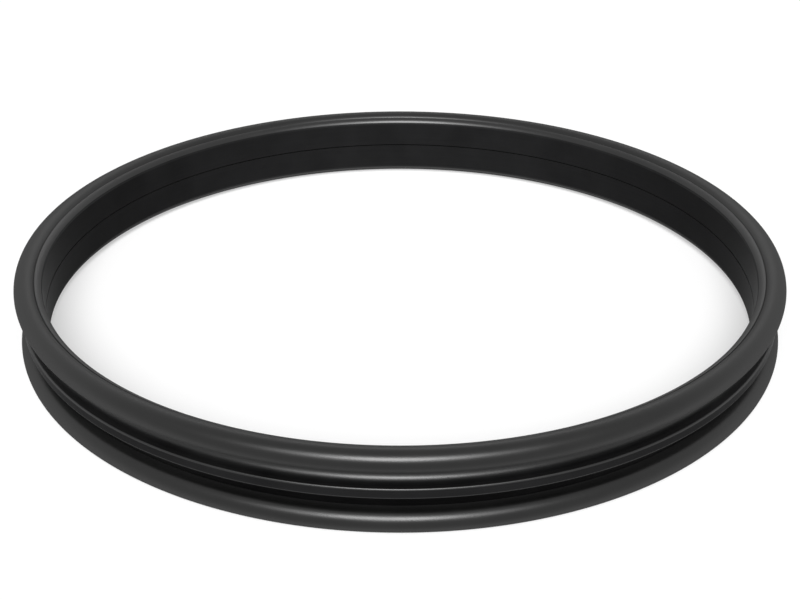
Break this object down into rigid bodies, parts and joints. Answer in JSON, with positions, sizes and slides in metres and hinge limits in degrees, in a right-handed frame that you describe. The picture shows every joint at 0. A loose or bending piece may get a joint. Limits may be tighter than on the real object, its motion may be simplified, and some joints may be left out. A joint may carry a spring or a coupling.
{
  "type": "dual seal",
  "caption": "Dual cone face seal: paired metal seal rings running face to face, each with a round rubber toric ring seated on its outer ramp",
  "frame": {"origin": "centre of the bore, in the plane where the two sealing faces meet", "axes": "+Z along the seal's axis, towards the upper half"},
  "size_m": [0.462, 0.462, 0.0468],
  "materials": {
    "seal_ring_iron": "satin black wear-resistant cast iron, turned, with a lapped sealing band",
    "toric_rubber": "smooth moulded black nitrile rubber, semi-gloss"
  },
  "bodies": {
    "lower_half": {"lower_seal_ring": "seal_ring_iron", "lower_toric_ring": "toric_rubber"},
    "upper_half": {"upper_seal_ring": "seal_ring_iron", "upper_toric_ring": "toric_rubber"}
  },
  "joints": [
    {"name": "face_turn", "type": "hinge", "parent": "lower_half", "child": "upper_half", "pos_m": [0, 0, 0], "axis": [0, 0, 1], "continuous": true}
  ]
}
